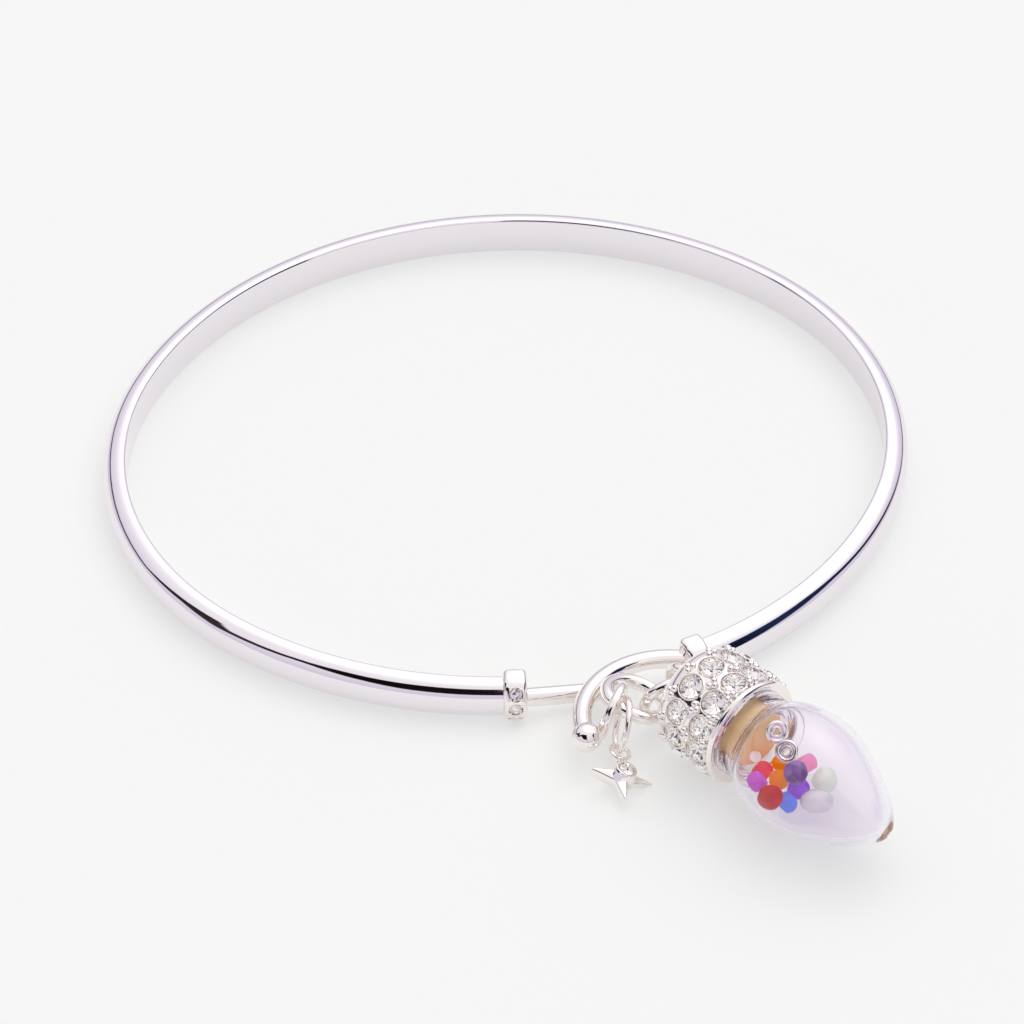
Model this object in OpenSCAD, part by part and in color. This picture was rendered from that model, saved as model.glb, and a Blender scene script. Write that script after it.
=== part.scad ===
// Oval hook-and-eye tension cuff with a small star charm and a glass bulb charm.
// Millimetres. +Z up, the opening for the wrist centred on the origin, the clasp towards -Y.

/* [Band] */
// Length of the oval opening, along X
wrist_long = 59; // [58:0.4:61.2]
// Width of the oval opening, along Y
wrist_short = 54.2; // [54:0.2:54.6]
// Height of the band
band_h = 3.2; // [3:0.1:3.6]
// Thickness of the band
band_t = 1.8; // [1.6:0.1:2.2]
// Radius of the rounded outer edges of the band
round_r = 1.35; // [1:0.05:1.4]

/* [Collars] */
// Half of the distance between the two collars
gap_half = 7; // [6.8:0.1:7.4]
// Length of a collar along the band
collar_w = 1.8; // [1.6:0.1:2.2]
// How far a collar stands out from the band
collar_proud = 0.4; // [0.3:0.05:0.5]
// Diameter of a collar stone
collar_stone_d = 1; // [0.8:0.1:1.1]

/* [Clasp] */
// Diameter of the hook's wire
hook_d = 1.46; // [1.3:0.02:1.48]
// Radius of the hook's bend
hook_r = 7.28; // [7.24:0.02:7.32]
// Diameter of the ball at the hook's end
ball_d = 2.24; // [2:0.04:2.24]
// Diameter of the wire that carries the eye
neck_d = 1.44; // [1.2:0.02:1.46]
// Diameter of the eye's own wire
eye_d = 0.84; // [0.76:0.02:0.86]

/* [Charms] */
// Outer radius of the bulb charm's cap
cap_r = 4.15; // [4.1:0.05:4.2]
// Diameter of a stone on the cap
cap_stone_d = 1.8; // [1.6:0.05:1.8]
// Thickness of the bulb's glass
glass_t = 0.45; // [0.35:0.05:0.5]
// Radius of a middling bead in the bulb
bead_size = 0.78; // [0.6:0.02:0.78]
// Length of a star arm, from the centre to the tip
star_arm = 2.36; // [2.2:0.02:2.5]

/* [Hidden] */

// Clearance round each stone and wherever two pieces would touch
gap = 0.05;
small_edge = 0.2;

// The oval is four arcs: two of end_r centred on the X axis and two of side_r centred on the Y axis.
// Each pair of centres and the origin make a 3-4-5 triangle, so the arcs meet on exact points.
centres_apart = (wrist_long - wrist_short) / 0.8;
end_r = wrist_short - wrist_long / 2;
side_r = end_r + centres_apart;
end_x = 0.8 * centres_apart;
side_y = 0.6 * centres_apart;
gap_a = asin(gap_half / (side_r + band_t / 2));
// Reach of the wedges that cut the arcs out of full rings
far = 50;
join_ray = [0.8 * far, 0.6 * far];
gap_ray = [far * sin(gap_a), far * cos(gap_a)];

// Collar section: a flat inner wall and one round outer wall
collar_r = band_h / 2 + collar_proud;
collar_arc_x = band_t + collar_proud - collar_r;
collar_top = band_h + collar_proud;
collar_stone_a = [36, 0, -36];

// Clasp, in the bracelet's frame: the hook lies in a plane that rises towards its ball,
// passes over the left end's wire and holds the eye inside its bend
wire_z = band_h / 2;
hook_c = [3.83, -33.6, 2.04];
hook_tilt = 4.6;
hook_from = 68.8;
hook_tail = 0.15;
neck_from = [-6.3, -27.3, 1.62];
neck_to = [-0.4, -27.34, 0.82];
eye_root = [-0.03, -29.85, 1.57];
eye_root_d = 1.1;
eye_c = [-0.8, -31.43, 2.53];
eye_face = [145, 16];
eye_r = 2;

// Rings: centre, direction of the axis as [turn, rise], middle radius, wire diameter
bail_c = [1.28, -30.76, 2.63];
bail_face = [-170.6, -68.2];
bail_r = 2.28;
bail_d = 1.06;
link_c = [3.65, -31.61, 2.74];
link_face = [-85, -12.7];
link_r = 2.07;
link_d = 0.84;
star_ring_c = [-0.42, -32.86, 2.26];
star_ring_face = [165.3, 14.65];
star_ring_r = 2.01;
star_ring_d = 0.48;

// Bulb charm: the middle of the cap's rim, the way it points, and places along its axis
charm_c = [7.6, -38.9, 4.78];
charm_turn = -63.9;
cap_back = 6.5;
cap_edge_r = 1.5;
bore_r = 3.2;
bore_depth = 3.4;
lip_r = 0.3;
cap_rows = [-4.0, -1.65];
cap_stones = 12;
cap_stone_turn = 5.5;
grain_r = 0.27;
grain_rows = [-5.12, -2.83, -0.62];
cap_loop_r = 1.15;
cap_loop_d = 0.84;

// Bulb outline: [place along the axis, radius], from the neck inside the cap to the nose
bulb_outline = [
  [-2.9, 2.85], [-1.2, 2.85], [0.3, 2.85], [0.95, 3.12], [1.35, 3.4], [2.1, 4.02], [3.1, 4.43], [4.3, 4.68],
  [5.5, 4.74], [6.7, 4.6], [7.9, 4.29], [9.1, 3.85], [10.3, 3.3], [11.5, 2.66], [12.5, 2.02], [13.3, 1.38],
  [13.85, 0.78], [14.15, 0]
];
stopper_r = 2.3;
stopper_from = -2.9;
stopper_to = 0.8;

// Beads in the bulb: [name, colour, radius as a part of bead_size, along the axis, to the side, up]
beads = [
  ["bead_magenta", "orchid", 1.05, 3.13, -2.44, -1.08],
  ["bead_coral", "lightcoral", 1.08, 1.88, -0.72, -1.94],
  ["bead_red", "crimson", 1.26, 5.23, -3.06, -0.72],
  ["bead_amber", "orange", 1, 2.15, 0.95, -2.05],
  ["bead_orange", "darkorange", 1.08, 3.79, -0.85, -1.42],
  ["bead_plum", "rebeccapurple", 1.28, 5.14, -0.51, 0],
  ["bead_pink", "hotpink", 1.18, 3.56, 2.21, -1.91],
  ["bead_violet", "mediumpurple", 1.2, 4.37, 0.66, -2.87],
  ["bead_blue", "slateblue", 1.13, 5.44, -1.51, -2.14],
  ["bead_smoke", "lightgray", 1.38, 5.91, 1.84, -1.73],
  ["bead_clear", "white", 0.58, 1.88, -1.39, -0.14]
];
pearl_at = [7.12, -0.12, -1.73];
pearl_turn = -48;
pearl_r = 0.92;
pearl_half = 1.25;
curl_places = [[1.72, 0.84, 0.85], [2.88, 0.77, -0.2]];
curl_turns = [44, 66];
curl_side = -142;
curl_r = 0.68;
curl_d = 0.4;

// Star charm
star_c = [-1.6, -37, 1.12];
star_face = [-6.3, 22.1];
star_turn = -6.7;
star_thick = 0.95;
star_waist = 0.9;
star_stone_d = 1.2;
star_bezel_r = 0.78;
star_bezel_foot = 1.1;
star_bezel_top = 0.84;
star_loop_r = 0.74;
star_loop_d = 0.34;
star_loop_y = star_arm + 0.4;

// Cut stones: heights and the table's radius as parts of the diameter
crown = 0.15;
pavilion = 0.4;
table_part = 0.29;

function two(n) = n < 10 ? str("0", n) : str(n);

module aim(at, face) translate(at) rotate([0, 90 - face[1], face[0]]) children();

module ring(r, d) rotate_extrude($fn = 64) translate([r, 0]) circle(d / 2, $fn = 32);

module rod(from, to, d) {
  v = to - from;
  translate(from)
    rotate([0, acos(v[2] / norm(v)), atan2(v[1], v[0])])
      cylinder(d = d, h = norm(v), $fn = 32);
}

module rounded_rect(size, r) {
  translate([-size[0] / 2 + r, -size[1] / 2]) square([size[0] - 2 * r, size[1]]);
  translate([-size[0] / 2, -size[1] / 2 + r]) square([size[0], size[1] - 2 * r]);
  for (x = [-1, 1], y = [-1, 1])
    translate([x * (size[0] / 2 - r), y * (size[1] / 2 - r)]) circle(r, $fn = 32);
}

// Round brilliant with its girdle at z = 0 and its table up: 8 table corners, 16 girdle corners
module cut_stone(d) {
  table = [for (i = [0 : 7]) [table_part * d * cos(45 * i), table_part * d * sin(45 * i), crown * d]];
  girdle = [for (i = [0 : 15]) [d / 2 * cos(22.5 * i), d / 2 * sin(22.5 * i), 0]];
  polyhedron(
    points = concat(table, girdle, [[0, 0, -pavilion * d]]),
    faces = concat(
      [[7, 6, 5, 4, 3, 2, 1, 0]],
      [for (i = [0 : 7]) [i, 8 + 2 * i, 8 + (2 * i + 15) % 16]],
      [for (i = [0 : 7]) [i, 8 + 2 * i + 1, 8 + 2 * i]],
      [for (i = [0 : 7]) [i, (i + 1) % 8, 8 + 2 * i + 1]],
      [for (i = [0 : 15]) [24, 8 + i, 8 + (i + 1) % 16]]
    )
  );
}

// Round seat for a stone of diameter d, open towards +Z from the girdle's level
module seat(d) translate([0, 0, -pavilion * d - gap]) cylinder(r = d / 2 + gap, h = pavilion * d + gap + 1, $fn = 32);

// Band section, with its inner wall at radius inner
module band_section(inner) translate([inner, 0]) {
  translate([small_edge, 0]) square([band_t - round_r - small_edge, band_h]);
  translate([0, small_edge]) square([small_edge, band_h - 2 * small_edge]);
  translate([band_t - round_r, round_r]) square([round_r, band_h - 2 * round_r]);
  for (y = [small_edge, band_h - small_edge]) translate([small_edge, y]) circle(small_edge, $fn = 24);
  for (y = [round_r, band_h - round_r]) translate([band_t - round_r, y]) circle(round_r, $fn = 48);
}

// One arc of the band, between two rays from its centre
module band_arc(centre, inner, rays) translate([centre[0], centre[1], 0]) intersection() {
  rotate_extrude($fn = 180) band_section(inner);
  translate([0, 0, -1]) linear_extrude(band_h + 2) polygon(concat([[0, 0]], rays));
}

module band() {
  band_arc([0, -side_y], side_r, [join_ray, [0, far], [-join_ray[0], join_ray[1]]]);
  for (s = [-1, 1]) {
    band_arc([s * end_x, 0], end_r, [[s * join_ray[0], join_ray[1]], [s * join_ray[0], -join_ray[1]]]);
    band_arc([0, side_y], side_r, [[s * join_ray[0], -join_ray[1]], [s * gap_ray[0], -gap_ray[1]]]);
  }
}

// Frame of a band end: X points outwards, Y along the band; side is -1 for the left end and 1 for the right
module at_collar(side)
  translate([0, side_y, 0]) rotate([0, 0, -90 + side * gap_a]) translate([side_r, 0, 0]) children();

module collar_profile() intersection() {
  union() {
    translate([-collar_proud, 0]) square([collar_arc_x + collar_proud, collar_top]);
    translate([collar_arc_x, wire_z]) circle(collar_r, $fn = 64);
  }
  translate([-collar_proud, 0]) square([3 * collar_r, collar_top]);
}

module collar(side) at_collar(side) intersection() {
  rotate([90, 0, 0]) linear_extrude(collar_w, center = true) collar_profile();
  translate([0, 0, collar_top / 2]) rotate([0, 90, 0])
    linear_extrude(8 * collar_r, center = true) rounded_rect([collar_top, collar_w], small_edge);
}

// Frame of a collar stone, with its table towards +Z
module at_collar_stone(i)
  translate([collar_arc_x, 0, wire_z]) rotate([0, 90 - collar_stone_a[i], 0])
    translate([0, 0, collar_r - crown * collar_stone_d]) children();

module hook() translate(hook_c) rotate([0, hook_tilt, 0]) {
  mirror([1, 0, 0]) rotate_extrude(angle = 180 - hook_from, $fn = 90)
    translate([hook_r, 0]) circle(hook_d / 2, $fn = 32);
  translate([-hook_r, -hook_tail, 0]) sphere(d = ball_d, $fn = 48);
}

module eye() aim(eye_c, eye_face) ring(eye_r, eye_d);

// Straight wire from the left collar, under the hook, then a short bend up into the eye
module eye_neck() {
  rod(neck_from, neck_to, neck_d);
  translate(neck_to) sphere(d = neck_d - 0.1, $fn = 32);
  rod(neck_to, eye_root, eye_root_d);
}

module cuff() color("silver") difference() {
  union() {
    band();
    for (side = [-1, 1]) collar(side);
    hook();
    eye_neck();
    eye();
  }
  for (side = [-1, 1], i = [0 : 2]) at_collar(side) at_collar_stone(i) seat(collar_stone_d);
}

module collar_stone(i) color("whitesmoke")
  at_collar(i < 3 ? -1 : 1) at_collar_stone(i % 3) cut_stone(collar_stone_d);

module bail_ring() color("silver") aim(bail_c, bail_face) ring(bail_r, bail_d);

module link_ring() color("silver") aim(link_c, link_face) ring(link_r, link_d);

module star_ring() color("silver") aim(star_ring_c, star_ring_face) ring(star_ring_r, star_ring_d);

// Frame of the star: Z out of its face, Y along the arm that carries the loop
module at_star() translate(star_c) rotate([0, star_face[1], star_face[0]]) rotate([0, 0, star_turn]) children();

module star_body() {
  rim = [for (i = [0 : 7]) let (r = i % 2 == 0 ? star_arm : star_waist) [r * cos(45 * i), r * sin(45 * i), 0]];
  polyhedron(
    points = concat(rim, [[0, 0, star_thick], [0, 0, -star_thick]]),
    faces = concat(
      [for (i = [0 : 7]) [8, (i + 1) % 8, i]],
      [for (i = [0 : 7]) [9, i, (i + 1) % 8]]
    )
  );
}

module star() color("silver") at_star() difference() {
  union() {
    star_body();
    cylinder(r1 = star_bezel_foot, r2 = star_bezel_r, h = star_bezel_top, $fn = 48);
    translate([0, star_loop_y, 0]) ring(star_loop_r, star_loop_d);
  }
  translate([0, 0, star_bezel_top - crown * star_stone_d + gap]) seat(star_stone_d);
  translate([0, star_loop_y, 0]) cylinder(r = star_loop_r - star_loop_d / 2, h = 2 * star_thick, center = true, $fn = 64);
}

module star_stone() color("whitesmoke")
  at_star() translate([0, 0, star_bezel_top - crown * star_stone_d + gap]) cut_stone(star_stone_d);

// Frame of the bulb charm: Z along its axis towards the nose, -X up
module at_charm() translate(charm_c) rotate([0, 90, charm_turn]) children();

module at_cap_stone(i)
  rotate([0, 0, cap_stone_turn + 360 / cap_stones * (i % cap_stones)])
    translate([cap_r, 0, cap_rows[floor(i / cap_stones)]]) rotate([0, 90, 0]) children();

module cap_shell() rotate_extrude($fn = 96) {
  translate([0, -cap_back + cap_edge_r]) square([cap_r, cap_back - cap_edge_r]);
  translate([0, -cap_back]) square([cap_r - cap_edge_r, cap_edge_r]);
  translate([cap_r - cap_edge_r, -cap_back + cap_edge_r]) circle(cap_edge_r, $fn = 48);
}

module cap() color("silver") at_charm() {
  difference() {
    union() {
      cap_shell();
      for (i = [0 : 2 * cap_stones - 1])
        at_cap_stone(i) translate([0, 0, -0.5]) cylinder(d = cap_stone_d + 0.3, h = 0.6, $fn = 32);
      for (z = grain_rows, i = [0 : cap_stones - 1])
        rotate([0, 0, cap_stone_turn + 360 / cap_stones * (i + 0.5)]) translate([cap_r, 0, z])
          sphere(grain_r, $fn = 24);
    }
    for (i = [0 : 2 * cap_stones - 1]) at_cap_stone(i) seat(cap_stone_d);
    translate([0, 0, -bore_depth]) cylinder(r = bore_r, h = bore_depth + 1, $fn = 96);
  }
  translate([0, 0, -lip_r]) ring(cap_r - lip_r + 0.12, 2 * lip_r);
  translate([0, 0, -cap_back - cap_loop_r + 0.15]) rotate([90, 0, 0]) ring(cap_loop_r, cap_loop_d);
}

module cap_stone(i) color("whitesmoke") at_charm() at_cap_stone(i) cut_stone(cap_stone_d);

// Outline moved inwards by t, for the glass's inner wall
function inset(p, t) = [for (i = [0 : len(p) - 1])
  let (a = p[max(i - 1, 0)], b = p[min(i + 1, len(p) - 1)], n = norm(b - a))
    [p[i][0] + t * (b[1] - a[1]) / n, p[i][1] - t * (b[0] - a[0]) / n]];

module bulb() color("lavender", 0.35) at_charm() rotate_extrude($fn = 96) {
  inner = [for (p = inset(bulb_outline, glass_t)) [max(p[1], 0), p[0]]];
  last = len(inner) - 1;
  wall = concat(
    [for (p = bulb_outline) [p[1], p[0]]],
    [[0, bulb_outline[last][0] - glass_t]],
    [for (i = [last - 1 : -1 : 1]) inner[i]],
    [[bulb_outline[0][1] - glass_t, bulb_outline[0][0]]]
  );
  polygon(wall);
}

module stopper() color("tan") at_charm() translate([0, 0, stopper_from])
  cylinder(r = stopper_r, h = stopper_to - stopper_from, $fn = 64);

// Frame of a thing in the bulb, from its place along the axis, to the side and up
module in_bulb(along, side, up) at_charm() translate([-up, side, along]) children();

module bead(b) color(b[1]) in_bulb(b[3], b[4], b[5]) sphere(bead_size * b[2], $fn = 32);

module pearl() color("ivory") in_bulb(pearl_at[0], pearl_at[1], pearl_at[2]) rotate([pearl_turn, 0, 0])
  rotate_extrude($fn = 48) polygon([for (a = [-90 : 15 : 90]) [pearl_r * cos(a), pearl_half * sin(a)]]);

// Two small rings soldered side by side
module curl() color("silver") for (i = [0, 1])
  in_bulb(curl_places[i][0], curl_places[i][1], curl_places[i][2]) rotate([0, curl_turns[i], curl_side])
    ring(curl_r, curl_d);

cuff();
for (i = [1 : 6]) collar_stone(i - 1);
bail_ring();
link_ring();
star_ring();
star();
star_stone();
cap();
for (i = [1 : 24]) cap_stone(i - 1);
bulb();
stopper();
for (b = beads) bead(b);
pearl();
curl();
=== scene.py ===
"""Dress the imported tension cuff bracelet: polished silver, cut crystal, the glass bulb and its beads."""

import math

import bmesh
import bpy
from mathutils import Matrix, Vector, noise


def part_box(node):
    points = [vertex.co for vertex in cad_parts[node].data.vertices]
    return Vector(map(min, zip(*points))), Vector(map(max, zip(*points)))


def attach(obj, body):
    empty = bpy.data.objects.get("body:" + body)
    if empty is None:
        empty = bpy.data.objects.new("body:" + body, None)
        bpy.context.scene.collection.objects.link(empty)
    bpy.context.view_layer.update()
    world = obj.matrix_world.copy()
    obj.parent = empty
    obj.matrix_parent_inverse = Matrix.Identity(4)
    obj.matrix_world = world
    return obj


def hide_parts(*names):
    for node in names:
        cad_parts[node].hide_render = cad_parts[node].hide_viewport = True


bl_info = {
    "name": "Tension cuff bracelet",
    "version": (1, 0, 0),
    "blender": (4, 5, 0),
    "location": "View3D > Sidebar > Bracelet",
    "description": "Finishes a tension cuff bracelet with a star charm and a glass bulb charm",
    "category": "Object",
}

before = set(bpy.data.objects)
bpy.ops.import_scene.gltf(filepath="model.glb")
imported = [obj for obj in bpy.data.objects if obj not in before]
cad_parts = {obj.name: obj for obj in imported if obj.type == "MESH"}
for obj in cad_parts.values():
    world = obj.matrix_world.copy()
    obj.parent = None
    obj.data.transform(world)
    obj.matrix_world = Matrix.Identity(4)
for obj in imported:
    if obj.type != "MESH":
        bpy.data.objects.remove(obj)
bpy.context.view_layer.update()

MM = 0.001
HAIR = 1e-7

# Places and turns of the model, in millimetres and degrees.
# The band is five arcs: two in front about (0, SIDE_Y), one behind about (0, -SIDE_Y), and the ends about
# (END_X, 0) and (-END_X, 0). Arcs join on the line through their centres, the long side of a 3, 4, 5 triangle.
SIDE_Y = 3.6
SIDE_R = 30.7
END_X = 4.8
JOIN_TURN = 36.8699
GAP_HALF = 7
BAND_HEIGHT = 3.2
BAND_THICKNESS = 1.8
BAND_ROUND = 1.35
BAND_EDGE = 0.26
STEP_TURN = 1.5
WIRE_SIDES = 32
COLLAR_PROUD = 0.4
COLLAR_WIDTH = 1.8
COLLAR_BEVEL = 0.42
COLLAR_TURNS = (36, 0, -36)
HOOK_C = (3.83, -33.6, 2.04)
HOOK_TILT = 4.6
HOOK_R = 7.28
HOOK_FROM = 68.8
HOOK_TAIL = 0.15
NECK_FROM = (-6.3, -27.3, 1.62)
NECK_TO = (-0.4, -27.34, 0.82)
EYE_ROOT = (-0.03, -29.85, 1.57)
EYE_ROOT_WIRE = 1.1
EYE_C = (-0.8, -31.43, 2.53)
EYE_FACE = (145, 16)
EYE_R = 2
# Each ring's centre, the way it faces, its radius and its wire
BAIL = ((1.28, -30.76, 2.63), (-170.6, -68.2), 2.28, 1.06)
LINK = ((3.65, -31.61, 2.74), (-85, -12.7), 2.07, 0.84)
STAR_RING = ((-0.42, -32.86, 2.26), (165.3, 14.65), 2.01, 0.48)
CHARM_C = (7.6, -38.9, 4.78)
CHARM_TURN = -63.9
CAP_ROWS = (-4.0, -1.65)
CAP_STONES = 12
CAP_STONE_TURN = 5.5
CAP_PITCH = 360 / CAP_STONES
STAR_C = (-1.6, -37, 1.12)
STAR_FACE = (-6.3, 22.1)
STAR_TURN = -6.7
STAR_ARM = 2.36
STAR_WAIST = 0.9
STAR_STONE_Z = 0.89
# The star's body from its face to its underside, as (share of its full outline, height)
STAR_LAYERS = ((0, 0.62), (1.03, 0.05), (1.0, -0.36), (0.86, -0.78), (0, -0.95))
# The bulb's outer and inner outlines from the neck to the nose, as (distance along the axis, radius)
BULB_OUTER = (
    (-2.9, 2.85), (-1.2, 2.85), (-0.25, 2.86), (0.0, 3.1), (0.12, 3.4), (0.3, 3.46), (0.7, 3.42), (1.1, 3.4),
    (1.32, 3.46), (1.5, 3.6), (1.66, 3.66), (1.8, 3.67), (1.96, 3.8), (2.25, 4.06), (3.1, 4.43), (4.3, 4.68),
    (5.5, 4.74), (6.7, 4.6), (7.9, 4.29), (9.1, 3.85), (10.3, 3.3), (11.5, 2.66), (12.5, 2.02), (13.3, 1.38),
    (13.85, 0.78), (14.15, 0),
)
BULB_INNER = (
    (-2.9, 2.4), (0.9, 2.4), (1.3, 2.5), (1.8, 3.1), (2.3, 3.6), (3.1, 3.96), (4.3, 4.22), (5.5, 4.28), (6.7, 4.14),
    (7.9, 3.8), (9.1, 3.3), (10.3, 2.7), (11.4, 2.04), (12.3, 1.4), (12.9, 0.8), (13.2, 0.35), (13.28, 0),
)
# Proportions of a cut stone of diameter 1: heights above and below its girdle, half the girdle's height, the
# table's radius and the slopes of the facets
CROWN = 0.15
PAVILION = 0.4
GIRDLE = 0.012
TABLE = 0.29
STAR_SLOPE = 0.42
UPPER_SLOPE = 1.0
LOWER_SLOPE = 0.9
# Room round a stone in its seat, and under its point
SEAT_ROOM = 0.05
SEAT_DEPTH = 0.08


def place(at, turn=0, tip=0, roll=0):
    """Matrix that rolls about Z, tips about Y, turns about Z and moves to a place in millimetres."""
    turned = Matrix.Identity(4)
    for angle, axis in ((turn, "Z"), (tip, "Y"), (roll, "Z")):
        turned = turned @ Matrix.Rotation(math.radians(angle), 4, axis)
    return Matrix.Translation(Vector(at) * MM) @ turned


def aim(at, face):
    """Matrix whose Z axis points along face, as a turn and a rise."""
    return place(at, face[0], 90 - face[1])


def gap_turn(thick):
    """Degrees from the middle of the band's gap to one of its ends."""
    return math.degrees(math.asin(GAP_HALF / (SIDE_R + thick / 2)))


def collar_frame(side):
    """Frame of a band end: X outwards, Y along the band."""
    return place((0, SIDE_Y, 0), -90 + side * gap_turn(BAND_THICKNESS)) @ place((SIDE_R, 0, 0))


def charm_frame():
    """Frame of the bulb charm: Z towards the nose, -X up."""
    return place(CHARM_C, CHARM_TURN, 90)


def star_frame():
    """Frame of the star: Z out of its face, Y along the arm that carries the loop."""
    return place(STAR_C, STAR_FACE[0], STAR_FACE[1], STAR_TURN)


def polar(turn, radius, z=0):
    """A point at a turn in degrees and a distance from the Z axis."""
    t = math.radians(turn)
    return (radius * math.cos(t), radius * math.sin(t), z)


def linear(code):
    """An sRGB hex colour as linear numbers."""
    parts = [int(code[i : i + 2], 16) / 255 for i in (1, 3, 5)]
    return [p / 12.92 if p <= 0.04045 else ((p + 0.055) / 1.055) ** 2.4 for p in parts] + [1.0]


def add(tree, kind, inputs=None, **settings):
    """Add one node; an input takes a value or another node's socket."""
    node = tree.nodes.new(kind)
    for name, value in settings.items():
        setattr(node, name, value)
    for name, value in (inputs or {}).items():
        if isinstance(value, bpy.types.NodeSocket):
            tree.links.new(value, node.inputs[name])
        else:
            node.inputs[name].default_value = value
    return node


def ramp(node, stops):
    """Set a colour ramp's stops as (place, colour)."""
    node.color_ramp.interpolation = "LINEAR"
    while len(node.color_ramp.elements) > 1:
        node.color_ramp.elements.remove(node.color_ramp.elements[-1])
    for i, (at, colour) in enumerate(stops):
        stop = node.color_ramp.elements[0] if i == 0 else node.color_ramp.elements.new(at)
        stop.position = at
        stop.color = colour


def new_material(name, **shader):
    """A material with one Principled shader set from shader's values, and the place on the object for its textures."""
    mat = bpy.data.materials.new(name)
    mat.use_nodes = True
    tree = mat.node_tree
    skin = tree.nodes["Principled BSDF"]
    for key, value in shader.items():
        skin.inputs[key.replace("_", " ")].default_value = value
    return mat, tree, skin, add(tree, "ShaderNodeTexCoord").outputs["Object"]


def silver_polished(colour, name="silver_polished"):
    """Bright silver plate, cast and tumble polished: it mirrors the room, with lines that waver a little."""
    mat, tree, skin, at = new_material(name, Base_Color=linear(colour), Metallic=1.0, Roughness=0.05)
    # Casting waves about 1.5 mm apart, and the haze that tumbling leaves in patches of 0.5 mm
    wave = add(tree, "ShaderNodeTexNoise", {"Vector": at, "Scale": 650.0, "Detail": 1.0})
    haze = add(tree, "ShaderNodeTexNoise", {"Vector": at, "Scale": 2000.0, "Detail": 3.0})
    blur = add(tree, "ShaderNodeMapRange", {"Value": haze.outputs["Fac"], "To Min": 0.03, "To Max": 0.09})
    tree.links.new(blur.outputs["Result"], skin.inputs["Roughness"])
    bump = add(tree, "ShaderNodeBump", {"Height": wave.outputs["Fac"], "Strength": 0.12, "Distance": 0.05 * MM})
    tree.links.new(bump.outputs["Normal"], skin.inputs["Normal"])
    return mat


def silver_cast(colour):
    """The same plate on the small cast and bent pieces, painted a little warmer than on the band: the warmth is a
    painted reflection of the tan glints in their hollows.
    """
    return silver_polished(colour, "silver_cast")


def crystal_cut():
    """Clear leaded crystal, wheel cut and polished: sharp facets that split what they mirror."""
    mat, tree, skin, at = new_material(
        "crystal_cut", Base_Color=linear("#FFFFFF"), Roughness=0.0, IOR=1.6, Transmission_Weight=1.0
    )
    # Fine polishing marks, 0.1 mm apart, too shallow to dull a facet
    marks = add(tree, "ShaderNodeTexNoise", {"Vector": at, "Scale": 10000.0})
    fine = add(tree, "ShaderNodeMapRange", {"Value": marks.outputs["Fac"], "To Min": 0.0, "To Max": 0.02})
    tree.links.new(fine.outputs["Result"], skin.inputs["Roughness"])
    return mat


def crystal_foil():
    """Silver foil fired on the back of a crystal: it throws the light back out of the crown."""
    mat, tree, skin, at = new_material("crystal_foil", Metallic=1.0, Roughness=0.04)
    grain = add(tree, "ShaderNodeTexNoise", {"Vector": at, "Scale": 6000.0})
    tone = add(tree, "ShaderNodeValToRGB", {"Fac": grain.outputs["Fac"]})
    ramp(tone, ((0.3, linear("#FAF7F5")), (0.7, linear("#FFFEFC"))))
    tree.links.new(tone.outputs["Color"], skin.inputs["Base Color"])
    return mat


def glass_blown(colour):
    """Clear soda glass, blown: colourless with a breath of lilac, and waves that bend its highlights."""
    mat, tree, skin, at = new_material(
        "glass_blown", Base_Color=linear(colour), Roughness=0.0, IOR=1.4, Transmission_Weight=1.0,
        Specular_IOR_Level=0.12
    )
    # Slow waves, 4 mm apart, from the blowing
    wave = add(tree, "ShaderNodeTexNoise", {"Vector": at, "Scale": 260.0, "Detail": 1.0})
    bump = add(tree, "ShaderNodeBump", {"Height": wave.outputs["Fac"], "Strength": 0.1, "Distance": 0.1 * MM})
    tree.links.new(bump.outputs["Normal"], skin.inputs["Normal"])
    return mat


def stopper_cork(light, dark):
    """Cork-coloured stopper, moulded and dull: mottled tan, with a faint painted glow that stands in for the light the
    glass bulb keeps from it.
    """
    # The emission is a painted glow in the stopper's dark colour: it lifts the shade inside the bulb.
    mat, tree, skin, at = new_material(
        "stopper_cork", Roughness=0.62, Emission_Color=linear(dark), Emission_Strength=0.16
    )
    # Flecks of 0.9 mm in the tone, which pit the skin too
    fleck = add(tree, "ShaderNodeTexNoise", {"Vector": at, "Scale": 1100.0, "Detail": 3.0})
    tone = add(tree, "ShaderNodeValToRGB", {"Fac": fleck.outputs["Fac"]})
    ramp(tone, ((0.3, linear(dark)), (0.65, linear(light))))
    tree.links.new(tone.outputs["Color"], skin.inputs["Base Color"])
    bump = add(tree, "ShaderNodeBump", {"Height": fleck.outputs["Fac"], "Strength": 0.3, "Distance": 0.05 * MM})
    tree.links.new(bump.outputs["Normal"], skin.inputs["Normal"])
    return mat


def bead_glass(name, colour, deep, clear):
    """Coloured pressed glass with an etched skin: soft cloudy colour, with a faint painted glow of its own colour that
    lifts the shade inside the bulb.
    """
    # The emission is a painted glow, not light that the bead has.
    mat, tree, skin, at = new_material(
        "glass_" + name, Roughness=0.5, IOR=1.5, Specular_IOR_Level=0.2, Transmission_Weight=clear,
        Subsurface_Weight=0.15, Subsurface_Scale=0.3 * MM, Emission_Color=linear(colour), Emission_Strength=0.14
    )
    # Clouds of 1 mm in the colour, and the same unevenness in the skin
    cloud = add(tree, "ShaderNodeTexNoise", {"Vector": at, "Scale": 900.0, "Detail": 2.0})
    tone = add(tree, "ShaderNodeValToRGB", {"Fac": cloud.outputs["Fac"]})
    ramp(tone, ((0.35, linear(deep)), (0.65, linear(colour))))
    tree.links.new(tone.outputs["Color"], skin.inputs["Base Color"])
    bump = add(tree, "ShaderNodeBump", {"Height": cloud.outputs["Fac"], "Strength": 0.25, "Distance": 0.06 * MM})
    tree.links.new(bump.outputs["Normal"], skin.inputs["Normal"])
    return mat


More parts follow.
